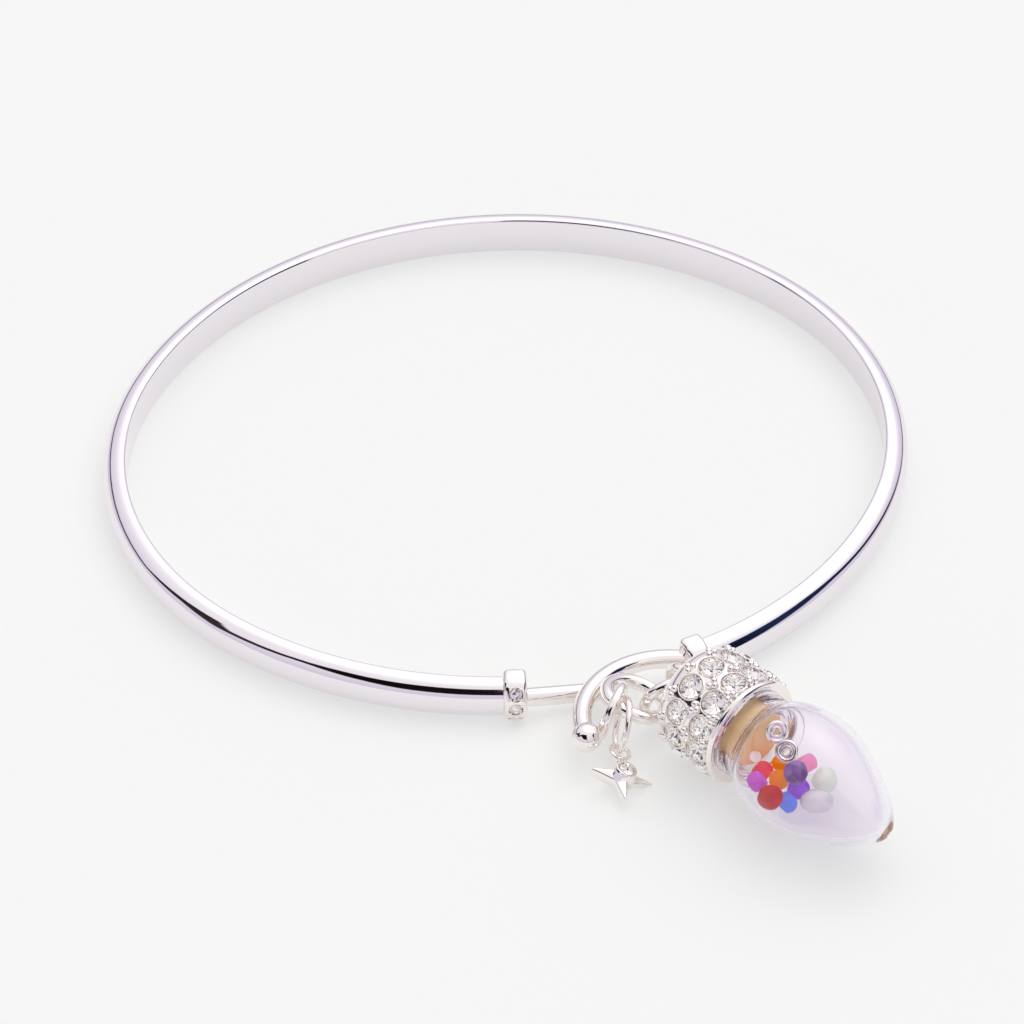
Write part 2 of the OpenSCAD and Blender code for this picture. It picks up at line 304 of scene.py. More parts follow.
def pearl_nacre():
    """Dipped imitation pearl: glossy white nacre, with painted shade, tinged lilac, towards its outline."""
    mat, tree, skin, _ = new_material(
        "pearl_nacre", Roughness=0.15, Coat_Weight=1.0, Coat_Roughness=0.03,
        Subsurface_Weight=0.2, Subsurface_Scale=0.3 * MM
    )
    # Painted shade: the colour darkens to grey lilac as the skin turns away from the camera.
    edge = add(tree, "ShaderNodeLayerWeight", {"Blend": 0.35})
    tone = add(tree, "ShaderNodeValToRGB", {"Fac": edge.outputs["Facing"]})
    ramp(tone, ((0.0, linear("#FCF9F8")), (0.6, linear("#F4EEF2")), (1.0, linear("#E0DCE2"))))
    tree.links.new(tone.outputs["Color"], skin.inputs["Base Color"])
    return mat


def paper_matt(colour, glow):
    """Matt white acrylic over a light box, the studio's table: it glows a little, so shadows on it stay pale."""
    mat, tree, skin, at = new_material(
        "paper_matt", Roughness=0.9, Specular_IOR_Level=0.1, Emission_Color=(1, 1, 1, 1), Emission_Strength=glow
    )
    grain = add(tree, "ShaderNodeTexNoise", {"Vector": at, "Scale": 1500.0, "Detail": 2.0})
    tone = add(tree, "ShaderNodeValToRGB", {"Fac": grain.outputs["Fac"]})
    base = linear(colour)
    slightly_darker = [c * 0.995 for c in base[:3]] + [1]
    ramp(tone, ((0.3, slightly_darker), (0.7, base)))
    tree.links.new(tone.outputs["Color"], skin.inputs["Base Color"])
    return mat


def join(target, source, matrix=None):
    """Add a finished shape to a piece's mesh."""
    bmesh.ops.remove_doubles(source, verts=source.verts, dist=HAIR)
    bmesh.ops.recalc_face_normals(source, faces=source.faces)
    if matrix is not None:
        source.transform(matrix)
    mesh = bpy.data.meshes.new("part")
    source.to_mesh(mesh)
    source.free()
    target.from_mesh(mesh)
    bpy.data.meshes.remove(mesh)


def chain(bm, points):
    """An open line of edges through points in millimetres."""
    verts = [bm.verts.new(Vector(p) * MM) for p in points]
    return verts + [bm.edges.new(pair) for pair in zip(verts, verts[1:])]


def spin_round(target, bm, geom, matrix, steps):
    """Turn edges all the way about Z and add what they make to target."""
    bmesh.ops.spin(bm, geom=geom, cent=(0, 0, 0), axis=(0, 0, 1), angle=math.tau, steps=steps, use_merge=True)
    join(target, bm, matrix)


def sweep(bm, geom, centre, turn):
    """Turn edges about a line along Z through a centre in millimetres, and return where they end."""
    return bmesh.ops.spin(
        bm, geom=geom, cent=Vector(centre) * MM, axis=(0, 0, 1), angle=math.radians(turn), steps=round(turn / STEP_TURN)
    )["geom_last"]


def close_ends(bm, *ends):
    """Put a face in each ring of edges."""
    for end in ends:
        bmesh.ops.contextual_create(bm, geom=[g for g in end if isinstance(g, bmesh.types.BMEdge)])


def lathe(target, outline, matrix, steps):
    """Turn an outline of (radius, height) in millimetres about Z into a closed shape."""
    bm = bmesh.new()
    geom = chain(bm, [(r, 0, z) for r, z in outline])
    if outline[0][0] > 0:
        geom.append(bm.edges.new((geom[len(outline) - 1], geom[0])))
    spin_round(target, bm, geom, matrix, steps)


def arc(centre, radius, start, end, steps):
    """Points on an arc, in degrees."""
    turns = [math.radians(start + (end - start) * i / steps) for i in range(steps + 1)]
    return [(centre[0] + radius * math.cos(t), centre[1] + radius * math.sin(t)) for t in turns]


def wire_ring(target, matrix, radius, wire, steps, sides):
    """A closed ring of round wire about Z."""
    bm = bmesh.new()
    lay = Matrix.Translation((radius * MM, 0, 0)) @ Matrix.Rotation(math.pi / 2, 4, "X")
    made = bmesh.ops.create_circle(bm, segments=sides, radius=wire / 2 * MM, matrix=lay)
    spin_round(target, bm, made["verts"] + list(bm.edges), matrix, steps)


def bent_wire(target, matrix, wire, radius, turn):
    """Round wire along a part of a circle about Z, from the X axis."""
    bm = bmesh.new()
    lay = Matrix.Translation((radius * MM, 0, 0)) @ Matrix.Rotation(math.pi / 2, 4, "X")
    made = bmesh.ops.create_circle(bm, segments=WIRE_SIDES, radius=wire / 2 * MM, matrix=lay)
    first = made["verts"] + list(bm.edges)
    close_ends(bm, first, sweep(bm, first, (0, 0, 0), turn))
    join(target, bm, matrix)


def straight_wire(target, start, end, wire):
    """A straight wire with rounded ends."""
    start, end = Vector(start), Vector(end)
    length, r = (end - start).length, wire / 2
    outline = arc((0, 0), r, -90, 0, 8) + arc((0, length), r, 0, 90, 8)
    outline[0], outline[-1] = (0, outline[0][1]), (0, outline[-1][1])
    turned = (end - start).to_track_quat("Z", "Y").to_matrix().to_4x4()
    lathe(target, outline, Matrix.Translation(start * MM) @ turned, WIRE_SIDES)


def ball(target, matrix, at, radius, fine):
    """A smooth ball at a place in a frame."""
    bm = bmesh.new()
    bmesh.ops.create_uvsphere(bm, u_segments=2 * fine, v_segments=fine, radius=radius * MM)
    join(target, bm, matrix @ Matrix.Translation(Vector(at) * MM))


def carve(bm, cutter):
    """Cut one closed shape out of another, and return the result as a new bmesh."""
    things = []
    for source in (bm, cutter):
        mesh = bpy.data.meshes.new("carving")
        source.to_mesh(mesh)
        source.free()
        things.append(bpy.data.objects.new("carving", mesh))
        bpy.context.scene.collection.objects.link(things[-1])
    cut = things[0].modifiers.new("seats", "BOOLEAN")
    cut.operation, cut.solver, cut.object = "DIFFERENCE", "EXACT", things[1]
    result = bmesh.new()
    result.from_object(things[0], bpy.context.evaluated_depsgraph_get())
    for thing in things:
        mesh = thing.data
        bpy.data.objects.remove(thing)
        bpy.data.meshes.remove(mesh)
    return result


def brilliant(diameter):
    """A round brilliant, cut facet by facet from a disc, with its girdle at z = 0; its lower facets carry the foil."""
    bm = bmesh.new()
    bmesh.ops.create_cone(bm, cap_ends=True, segments=48, radius1=0.5, radius2=0.5, depth=1)
    eighth, half, quarter = 45, 22.5, 11.25
    skew = 0.5 * (1 - math.cos(math.radians(quarter)))
    facets = [((0, 0, CROWN), (0, 0, 1))]

    def facet(turn, reach, height, slope, up):
        facets.append((polar(turn, reach, height), polar(turn, slope, up)))

    for k in range(8):
        kite = eighth * k
        facet(kite, 0.5, GIRDLE, CROWN / (0.5 - TABLE), 1)
        facet(kite + half, TABLE * math.cos(math.radians(half)), CROWN, STAR_SLOPE, 1)
        facet(kite, 0.5, -GIRDLE, PAVILION / 0.5, -1)
        for side in (-quarter, quarter):
            facet(kite + side, 0.5, GIRDLE - UPPER_SLOPE * skew, UPPER_SLOPE, 1)
            facet(kite + side, 0.5, -GIRDLE + LOWER_SLOPE * skew, LOWER_SLOPE, -1)
    for spot, normal in facets:
        whole = bm.verts[:] + bm.edges[:] + bm.faces[:]
        cut = bmesh.ops.bisect_plane(bm, geom=whole, dist=1e-6, plane_co=spot, plane_no=normal, clear_outer=True)
        edges = [g for g in cut["geom_cut"] if isinstance(g, bmesh.types.BMEdge)]
        bmesh.ops.holes_fill(bm, edges=edges, sides=0)
    for face in bm.faces:
        face.material_index = int(face.calc_center_median().z < 0)
        face.smooth = False
    bm.transform(Matrix.Scale(diameter * MM, 4))
    return bm


def finish(bm, name, materials, nodes, smooth=35):
    """Make a piece of a mesh, in place of CAD nodes, with edges sharper than smooth degrees kept crisp."""
    mesh = bpy.data.meshes.new(name)
    if smooth:
        for face in bm.faces:
            face.smooth = True
        for edge in bm.edges:
            edge.smooth = len(edge.link_faces) == 2 and edge.calc_face_angle(0) < math.radians(smooth)
    bm.to_mesh(mesh)
    bm.free()
    for mat in materials:
        mesh.materials.append(mat)
    piece = bpy.data.objects.new(name, mesh)
    bpy.context.scene.collection.objects.link(piece)
    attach(piece, "root")
    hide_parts(*nodes)


def shared(maker, *values):
    """The material that maker makes, made once."""
    found = bpy.data.materials.get(maker.__name__)
    return found or maker(*values)


def length_setting(name, description, default):
    """A length property, with its default in millimetres."""
    return bpy.props.FloatProperty(name=name, description=description, default=default * MM, unit="LENGTH")


def colour_setting(name, description, default):
    """A colour property, written as sRGB hex."""
    return bpy.props.StringProperty(name=name, description=description + ", as sRGB hex", default=default)


def level_setting(name, description, default):
    """A brightness property."""
    return bpy.props.FloatProperty(name=name, description=description, default=default)


class BRACELET_PG_cuff(bpy.types.PropertyGroup):
    """Sizes and finish of the cuff."""

    band_height: length_setting("Band height", "Height of the band", BAND_HEIGHT)
    band_thickness: length_setting("Band thickness", "Thickness of the band", BAND_THICKNESS)
    silver: colour_setting("Silver", "Colour of the polished silver", "#F1ECF0")
    # The cast silver's warmth is a painted reflection of the tan glints in the small pieces' hollows.
    cast: colour_setting("Cast silver", "Colour of the small pieces' silver", "#F5F0EC")
    hook_wire: length_setting("Hook wire", "Diameter of the hook's wire", 1.46)
    ball: length_setting("Ball", "Diameter of the ball on the hook", 2.24)
    neck_wire: length_setting("Neck wire", "Diameter of the wire that carries the eye", 1.44)
    eye_wire: length_setting("Eye wire", "Diameter of the eye's wire", 0.84)


class BRACELET_PG_charm(bpy.types.PropertyGroup):
    """Sizes and colours of the charms."""

    cap_radius: length_setting("Cap radius", "Outer radius of the cap", 4.15)
    cap_stone: length_setting("Cap stone", "Diameter of a stone on the cap", 1.8)
    collar_stone: length_setting("Collar stone", "Diameter of a collar stone", 1.0)
    star_stone: length_setting("Star stone", "Diameter of the star's stone", 1.2)
    glass: colour_setting("Glass", "Tint of the bulb", "#FBF8FE")
    cork_light: colour_setting("Stopper light", "Lighter colour of the stopper", "#FFDFA6")
    cork_dark: colour_setting("Stopper dark", "Darker colour of the stopper", "#F6CD8C")


class BRACELET_PG_stage(bpy.types.PropertyGroup):
    """The studio."""

    card: colour_setting("Card", "Colour of the table", "#B0B1AD")
    glow: level_setting("Table glow", "Light that the table itself gives", 0.53)
    dome: level_setting("Tent", "Brightness of the light tent", 0.94)
    key: level_setting("Key patch", "Extra brightness of the tent on the key's side", 1.6)


# The camera looks at a point, in millimetres, from a turn about Z and a rise in degrees, at a distance in metres
CAMERA_TURN = -15.8
CAMERA_RISE = 40.7
CAMERA_AT = (-0.95, -4.98, 0)
CAMERA_AWAY = 0.48
CAMERA_LENS = 219.3
BOUNCES = 32
# Half the table's width in metres, and how far it lies under the bracelet in millimetres
TABLE_HALF = 0.9
TABLE_UNDER = 0.02


class BRACELET_OT_stage(bpy.types.Operator):
    """Set the camera, the white table and the light tent"""

    bl_idname = "bracelet.stage"
    bl_label = "Stage and camera"

    def execute(self, context):
        p = context.scene.bracelet_stage
        camera = bpy.data.objects.new("camera", bpy.data.cameras.new("camera"))
        context.scene.collection.objects.link(camera)
        turned = Matrix.Rotation(math.radians(CAMERA_TURN), 3, "Z")
        away = turned @ Matrix.Rotation(math.radians(-CAMERA_RISE), 3, "X") @ Vector((0, -1, 0))
        camera.location = Vector(CAMERA_AT) * MM + away * CAMERA_AWAY
        camera.rotation_euler = (math.radians(90 - CAMERA_RISE), 0, math.radians(CAMERA_TURN))
        camera.data.lens = CAMERA_LENS
        camera.data.clip_start = 0.01
        context.scene.camera = camera
        context.scene.view_settings.view_transform = "Standard"
        # Light goes many times round in the crystals and along the bulb's wall
        rays = context.scene.cycles
        rays.max_bounces = rays.glossy_bounces = rays.transmission_bounces = BOUNCES

        bm = bmesh.new()
        bmesh.ops.create_grid(bm, x_segments=8, y_segments=8, size=TABLE_HALF)
        bmesh.ops.translate(bm, verts=bm.verts, vec=(0, 0, -TABLE_UNDER * MM))
        mesh = bpy.data.meshes.new("table_card")
        bm.to_mesh(mesh)
        bm.free()
        mesh.materials.append(paper_matt(p.card, p.glow))
        floor = bpy.data.objects.new("table_card", mesh)
        context.scene.collection.objects.link(floor)

        light_tent(context.scene, p.dome, p.key)
        return {"FINISHED"}


# Round the tent, by the turn in degrees: how far the dark gap's lower and upper edges stand over the horizon, in
# degrees, and the gap's colours
GAP_LOWER = (
    (-180, 16), (-158, 38), (-140, 30), (-128, 24), (-102, 24), (-99, 0), (-50, 0), (-44, 2), (-28, 12), (-12, 18),
    (2, 10), (25, 2), (60, 0), (100, 6), (120, 12), (150, 10), (165, 20), (180, 16),
)
GAP_UPPER = (
    (-180, 34), (-158, 56), (-140, 58), (-128, 60), (-102, 60), (-99, 2), (-50, 3), (-44, 40), (-28, 40), (-12, 38),
    (2, 22), (25, 7), (60, 4), (100, 11), (120, 18), (150, 16), (165, 48), (180, 34),
)
GAP_COLOURS = (
    (-180, "#3A3133"), (-150, "#0C0A0C"), (-105, "#1A1214"), (-60, "#8F877F"), (-46, "#0A0F1C"), (-30, "#1C2B4C"),
    (-10, "#1A2440"), (10, "#2A2228"), (60, "#8D8489"), (110, "#1E1C20"), (150, "#14141C"), (180, "#3A3133"),
)
GAP_SHARPNESS = 0.35
# The tent from the horizon to its top, and the way to its bright patch
TENT_COLOURS = ((0.0, "#E0DAEC"), (0.22, "#E9E5F2"), (0.5, "#FDFBFF"), (1.0, "#FFFFFF"))
PATCH_AT = (0.36, 0.36, 0.86)
PATCH_POWER = 12.0


def light_tent(scene, dome, key):
    """A white tent, with a dark gap round it where the camera and the room look in."""
    world = bpy.data.worlds.new("light_tent")
    world.use_nodes = True
    scene.world = world
    tree = world.node_tree
    back = tree.nodes["Background"]
    look = add(tree, "ShaderNodeTexCoord").outputs["Generated"]
    axes = add(tree, "ShaderNodeSeparateXYZ", {"Vector": look}).outputs

    def maths(operation, *values, clamp=False):
        node = add(tree, "ShaderNodeMath", dict(enumerate(values)), operation=operation, use_clamp=clamp)
        return node.outputs["Value"]

    rise = maths("MULTIPLY", maths("ARCSINE", axes["Z"]), 180 / math.pi)
    turn = maths("MULTIPLY_ADD", maths("ARCTAN2", axes["Y"], axes["X"]), 1 / math.tau, 0.5)

    def by_turn(stops):
        """A colour for each direction round the tent, from (degrees, colour)."""
        node = add(tree, "ShaderNodeValToRGB", {"Fac": turn})
        ramp(node, [((a + 180) / 360, shade) for a, shade in stops])
        return node.outputs["Color"]

    def above(higher, low):
        """One where a height is above another, and nought where it is below."""
        return maths("MULTIPLY_ADD", maths("SUBTRACT", higher, low), GAP_SHARPNESS, 0.5, clamp=True)

    # A ramp holds only numbers up to one, so the edges go through it as shares of a right angle
    lower, upper = (
        maths("MULTIPLY", by_turn([(a, [rim / 90] * 3 + [1]) for a, rim in edge]), 90)
        for edge in (GAP_LOWER, GAP_UPPER)
    )
    inside = maths("MULTIPLY", above(rise, lower), above(upper, rise))
    sky = add(tree, "ShaderNodeValToRGB", {"Fac": maths("DIVIDE", rise, 90)})
    ramp(sky, [(height, linear(code)) for height, code in TENT_COLOURS])
    gap = by_turn([(a, linear(code)) for a, code in GAP_COLOURS])
    side = add(tree, "ShaderNodeVectorMath", {0: look, 1: PATCH_AT}, operation="DOT_PRODUCT")
    patch = maths("POWER", maths("MAXIMUM", side.outputs["Value"], 0.0), PATCH_POWER)
    glow = maths("MULTIPLY_ADD", patch, key, dome)
    bright = add(tree, "ShaderNodeVectorMath", {0: sky.outputs["Color"], "Scale": glow}, operation="SCALE")
    # The gap shows in reflections; through the clear bulb the tent behind it is seen
    ray = add(tree, "ShaderNodeLightPath").outputs
    through = maths("MULTIPLY", ray["Is Transmission Ray"], maths("LESS_THAN", ray["Glossy Depth"], 0.5))
    inside = maths("MULTIPLY", inside, maths("SUBTRACT", 1.0, through))
    mix = add(tree, "ShaderNodeMix", {"Factor": inside, "A": bright.outputs["Vector"], "B": gap}, data_type="RGBA")
    tree.links.new(mix.outputs["Result"], back.inputs["Color"])


class BRACELET_OT_cuff(bpy.types.Operator):
    """Build the band, collars, hook and eye in polished silver"""

    bl_idname = "bracelet.cuff"
    bl_label = "Cuff"

    def execute(self, context):
        p = context.scene.bracelet_cuff
        height, thick = p.band_height / MM, p.band_thickness / MM
        bm = bmesh.new()
        self.band(bm, height, thick)
        band_faces = len(bm.faces)
        for side in (-1, 1):
            self.collar(bm, side, height, thick)
        hook = place(HOOK_C) @ Matrix.Rotation(math.radians(HOOK_TILT), 4, "Y")
        hook_start = hook @ Matrix.Rotation(math.radians(HOOK_FROM), 4, "Z")
        bent_wire(bm, hook_start, p.hook_wire / MM, HOOK_R, 180 - HOOK_FROM)
        ball(bm, hook, (-HOOK_R, -HOOK_TAIL, 0), p.ball / 2 / MM, 32)
        straight_wire(bm, NECK_FROM, NECK_TO, p.neck_wire / MM)
        straight_wire(bm, NECK_TO, EYE_ROOT, EYE_ROOT_WIRE)
        wire_ring(bm, aim(EYE_C, EYE_FACE), EYE_R, p.eye_wire / MM, 120, 32)
        bm.faces.ensure_lookup_table()
        for face in bm.faces[band_faces:]:
            face.material_index = 1
        silvers = [shared(silver_polished, p.silver), shared(silver_cast, p.cast)]
        finish(bm, "cuff_silver", silvers, ["cuff"])
        return {"FINISHED"}

    @staticmethod
    def section(height, thick):
        """The band's section: flat inside with eased edges, and rounded outside."""
        start = BAND_EDGE + 0.04
        points = [(0, start), (0, height - start)]
        points += arc((BAND_EDGE, height - BAND_EDGE), BAND_EDGE, 180, 90, 6)
        points += arc((thick - BAND_ROUND, height - BAND_ROUND), BAND_ROUND, 90, 0, 20)
        points += arc((thick - BAND_ROUND, BAND_ROUND), BAND_ROUND, 0, -90, 20)
        points += arc((BAND_EDGE, BAND_EDGE), BAND_EDGE, -90, -180, 6)
        return points

    def band(self, target, height, thick):
        """Lead the section round the five arcs, from one collar to the other."""
        bm = bmesh.new()
        points = [Vector((SIDE_R + r, 0, z)) for r, z in self.section(height, thick)]
        first = chain(bm, points)
        first.append(bm.edges.new((first[len(points) - 1], first[0])))
        bm.transform(place((0, SIDE_Y, 0), -90 + gap_turn(thick)))
        front, end, back = 90 - JOIN_TURN - gap_turn(thick), 2 * JOIN_TURN, 180 - 2 * JOIN_TURN
        last = first
        for centre, turn in (
            ((0, SIDE_Y, 0), front), ((END_X, 0, 0), end), ((0, -SIDE_Y, 0), back), ((-END_X, 0, 0), end),
            ((0, SIDE_Y, 0), front),
        ):
            last = sweep(bm, last, centre, turn)
        close_ends(bm, first, last)
        join(target, bm)

    def collar(self, target, side, height, thick):
        """A rounded collar on a band end, with three seats for its stones."""
        middle, reach = collar_round(height, thick)
        low = math.degrees(math.asin(-height / 2 / reach))
        points = [(-COLLAR_PROUD, 0), (-COLLAR_PROUD, height + COLLAR_PROUD)]
        points += arc((middle, height / 2), reach, 90, low, 36)
        bm = bmesh.new()
        face = bm.faces.new([bm.verts.new(Vector((x, -COLLAR_WIDTH / 2, z)) * MM) for x, z in points])
        made = bmesh.ops.extrude_face_region(bm, geom=[face])["geom"]
        far = [g for g in made if isinstance(g, bmesh.types.BMVert)]
        bmesh.ops.translate(bm, verts=far, vec=(0, COLLAR_WIDTH * MM, 0))
        bmesh.ops.recalc_face_normals(bm, faces=bm.faces)
        sharp = [e for e in bm.edges if e.calc_face_angle(0) > math.radians(40)]
        bevel(bm, sharp, COLLAR_BEVEL, 7)
        stone = context_size("collar_stone")
        cutter = bmesh.new()
        for turn in COLLAR_TURNS:
            lathe(cutter, seat(stone), collar_stone_place(turn, stone), 48)
        bm = carve(bm, cutter)
        for turn in COLLAR_TURNS:
            claws(bm, collar_stone_place(turn, stone), stone)
        join(target, bm, collar_frame(side))


def bevel(bm, edges, width, segments):
    """Round edges off by a width in millimetres."""
    bmesh.ops.bevel(bm, geom=edges, offset=width * MM, affect="EDGES", segments=segments, profile=0.5, material=-1)


def collar_round(height, thick):
    """Where the collar's round wall has its centre, outwards from the band's inner wall, and its radius."""
    reach = height / 2 + COLLAR_PROUD
    return thick + COLLAR_PROUD - reach, reach


def collar_stone_place(turn, stone):
    """Frame of a stone in its collar."""
    p = bpy.context.scene.bracelet_cuff
    middle, reach = collar_round(p.band_height / MM, p.band_thickness / MM)
    return place((middle, 0, p.band_height / MM / 2), 0, 90 - turn) @ place((0, 0, reach - CROWN * stone))


def cap_stone_place(k, radius):
    """Frame of a stone on the cap."""
    around = Matrix.Rotation(math.radians(CAP_STONE_TURN + CAP_PITCH * (k % CAP_STONES)), 4, "Z")
    return charm_frame() @ around @ place((radius, 0, CAP_ROWS[k // CAP_STONES]), 0, 90)


def context_size(name):
    """A charm size in millimetres."""
    return getattr(bpy.context.scene.bracelet_charm, name) / MM


def seat(stone):
    """Outline of the hole that a stone sits in, a hair wider than the stone."""
    r, floor = stone / 2 + SEAT_ROOM, -PAVILION * stone - SEAT_DEPTH
    return [(0, floor), (0.1, floor), (r, -SEAT_DEPTH), (r, 1), (0, 1)]


def claws(target, matrix, stone):
    """Four small beads of metal that hold a stone's edge."""
    for turn in (45, 135, 225, 315):
        ball(target, matrix, polar(turn, stone / 2 + 0.06, 0.06), 0.11, 8)


class BRACELET_OT_stones(bpy.types.Operator):
    """Cut the crystals and set them in the collars, the star and the cap"""

    bl_idname = "bracelet.stones"
    bl_label = "Crystals"

    def execute(self, context):
        crystals = [shared(crystal_cut), shared(crystal_foil)]
        places = []
        stone = context_size("collar_stone")
        for k in range(6):
            spot = collar_frame(-1 if k < 3 else 1) @ collar_stone_place(COLLAR_TURNS[k % 3], stone)
            places.append((f"collar_stone_{k + 1}", spot, stone))
        stone = context_size("star_stone")
        places.append(("star_stone", star_frame() @ place((0, 0, STAR_STONE_Z - CROWN * stone)), stone))
        stone = context_size("cap_stone")
        for k in range(2 * CAP_STONES):
            places.append((f"cap_stone_{k + 1:02d}", cap_stone_place(k, context_size("cap_radius")), stone))
        for name, matrix, size in places:
            bm = brilliant(size)
            bm.transform(matrix)
            finish(bm, "crystal_" + name, crystals, [name], smooth=None)
        return {"FINISHED"}


class BRACELET_OT_rings(bpy.types.Operator):
    """Bend the three loose rings"""

    bl_idname = "bracelet.rings"
    bl_label = "Rings"

    def execute(self, context):
        silver = shared(silver_cast, context.scene.bracelet_cuff.cast)
        for name, (at, face, radius, wire) in (("bail_ring", BAIL), ("link_ring", LINK), ("star_ring", STAR_RING)):
            bm = bmesh.new()
            wire_ring(bm, aim(at, face), radius, wire, 120, 32)
            finish(bm, name + "_silver", [silver], [name])
        return {"FINISHED"}


class BRACELET_OT_star(bpy.types.Operator):
    """Build the star charm"""

    bl_idname = "bracelet.star"
    bl_label = "Star"

    def execute(self, context):
        silver = shared(silver_cast, context.scene.bracelet_cuff.cast)
        bm = bmesh.new()
        rows = [[self.corner(bm, k, scale, z) for k in range(8)] for scale, z in STAR_LAYERS[1:-1]]
        for upper, lower in zip(rows, rows[1:]):
            for k in range(8):
                bm.faces.new((upper[k], lower[k], lower[(k + 1) % 8], upper[(k + 1) % 8]))
        for row, (_, z) in ((rows[0], STAR_LAYERS[0]), (rows[-1], STAR_LAYERS[-1])):
            tip = bm.verts.new(Vector((0, 0, z)) * MM)
            for k in range(8):
                bm.faces.new((row[k], row[(k + 1) % 8], tip))
        bmesh.ops.recalc_face_normals(bm, faces=bm.faces)
        bevel(bm, bm.edges[:], 0.07, 3)
        stone = context_size("star_stone")
        cutter = bmesh.new()
        lathe(cutter, seat(stone), place((0, 0, STAR_STONE_Z - CROWN * stone)), 48)
        body = carve(bm, cutter)
        hole = stone / 2 + 0.04
        rim = [(hole, 0), (0.98, 0), (0.88, 0.55)] + arc((0.75, 0.78), 0.07, 30, 90, 5)
        rim += [(hole + 0.02, 0.84), (hole, 0.8)]
        lathe(body, rim, Matrix.Identity(4), 64)
        wire_ring(body, place((0, STAR_ARM + 0.4, 0)), 0.74, 0.34, 64, 20)
        piece = bmesh.new()
        join(piece, body, star_frame())
        finish(piece, "star_silver", [silver], ["star"], smooth=30)
        return {"FINISHED"}

    @staticmethod
    def corner(bm, k, scale, z):
        """An arm's tip or the corner between two arms; arms that lean down are cut back to end on the table."""
        reach = (STAR_ARM + 0.1 if k % 2 == 0 else STAR_WAIST) * scale
        while (star_frame() @ (Vector(polar(45 * k, reach, z)) * MM)).z < 0.02 * MM:
            reach *= 0.97
        return bm.verts.new(Vector(polar(45 * k, reach, z)) * MM)


class BRACELET_OT_cap(bpy.types.Operator):
    """Build the cap with its seats, rims and grains"""

    bl_idname = "bracelet.cap"
    bl_label = "Cap"

    def execute(self, context):
        silver = shared(silver_cast, context.scene.bracelet_cuff.cast)
        radius, stone = context_size("cap_radius"), context_size("cap_stone")
        home = charm_frame().inverted()
        seats = [home @ cap_stone_place(k, radius) for k in range(2 * CAP_STONES)]
        bm = bmesh.new()
        lathe(bm, self.outline(radius), Matrix.Identity(4), 144)
        cutter = bmesh.new()
        for spot in seats:
            lathe(cutter, seat(stone), spot, 48)
        bm = carve(bm, cutter)
        inner, outer = stone / 2 + 0.05, stone / 2 + 0.15
        rim = [(inner, -0.35), (outer, -0.35), (outer, 0.02)] + arc((stone / 2 + 0.1, 0.04), 0.05, 0, 180, 6)
        for spot in seats:
            lathe(bm, rim, spot, 40)
        # Three grains in a triangle between stones: behind the two rows, between them and in front of them
        for z, along in ((-5.12, -0.3), (-2.83, 0.34), (-0.86, -0.34)):
            reach = radius + 0.08 if z > -5 else radius - 0.05
            for k in range(CAP_STONES):
                for step, lift in ((-1, 0), (1, 0), (0, along)):
                    turn = CAP_STONE_TURN + CAP_PITCH * (k + 0.5) + 3.6 * step
                    ball(bm, Matrix.Identity(4), polar(turn, reach, z + lift), 0.29, 10)
        wire_ring(bm, place((0, 0, -7.5)) @ Matrix.Rotation(math.pi / 2, 4, "X"), 1.15, 0.84, 72, 24)
        piece = bmesh.new()
        join(piece, bm, charm_frame())
        finish(piece, "cap_silver", [silver], ["cap"], smooth=40)
        return {"FINISHED"}

    @staticmethod
    def outline(radius):
        """The cap's outline: a domed back, a lip in front and the bore for the bulb's neck."""
        line = [(0, -6.5)] + arc((radius - 1.5, -5), 1.5, -90, 0, 16) + [(radius, -0.72), (radius - 0.02, -0.66)]
        line += arc((radius - 0.18, -0.3), 0.3, -50, 90, 14)
        return line + arc((3.4, -0.2), 0.2, 90, 180, 5) + [(3.2, -3.4), (0, -3.4)]


def smooth_outline(points, steps=6):
    """A smooth line through points, for glass that was blown and not turned."""
    ends = [points[0]] + list(points) + [points[-1]]
    line = []
    for a, b, c, d in zip(ends, ends[1:], ends[2:], ends[3:]):
        for i in range(steps):
            t = i / steps
            line.append(tuple(
                0.5 * (2 * q + (r - o) * t + (2 * o - 5 * q + 4 * r - s) * t * t + (3 * q - o - 3 * r + s) * t ** 3)
                for o, q, r, s in zip(a, b, c, d)
            ))
    return line + [points[-1]]


class BRACELET_OT_bulb(bpy.types.Operator):
    """Blow the glass bulb and cut its stopper"""

    bl_idname = "bracelet.bulb"
    bl_label = "Glass bulb"

    def execute(self, context):
        p = context.scene.bracelet_charm
        outer, inner = (smooth_outline([(r, z) for z, r in line]) for line in (BULB_OUTER, BULB_INNER))
        bm = bmesh.new()
        lathe(bm, outer[::-1] + inner, charm_frame(), 128)
        finish(bm, "bulb_glass", [glass_blown(p.glass)], ["bulb"], smooth=60)
        bm = bmesh.new()
        plug = [(0, -2.9)] + arc((2.1, -2.7), 0.2, -90, 0, 5) + arc((2.1, 0.6), 0.2, 0, 90, 5) + [(0, 0.8)]
        lathe(bm, plug, charm_frame(), 96)
        finish(bm, "stopper_cork", [stopper_cork(p.cork_light, p.cork_dark)], ["stopper"])
        return {"FINISHED"}


# A bead is a ball with uneven skin, flattened at the ends of its hole, all as shares of its radius
BEAD_HALF = 0.68
BEAD_LUMP = 0.16
# Each bead's name, its two colours and how clear it is
BEAD_COLOURS = (
    ("magenta", "#E060E4", "#C83CC4", 0.12), ("coral", "#FF5864", "#EE4450", 0.12), ("red", "#DC0018", "#B4000C", 0.05),
    ("amber", "#FFA800", "#FF9600", 0.12), ("orange", "#FFA600", "#FF9200", 0.12), ("plum", "#A47EB8", "#64427A", 0.1),
    ("pink", "#FFB4D8", "#FF8CC0", 0.12), ("violet", "#B878F4", "#9C5ADC", 0.12), ("blue", "#86A0FF", "#6C86F4", 0.12),
    ("smoke", "#F8FCF2", "#E8ECE0", 0.3), ("clear", "#F4F2F6", "#E4E2E8", 0.9),
)


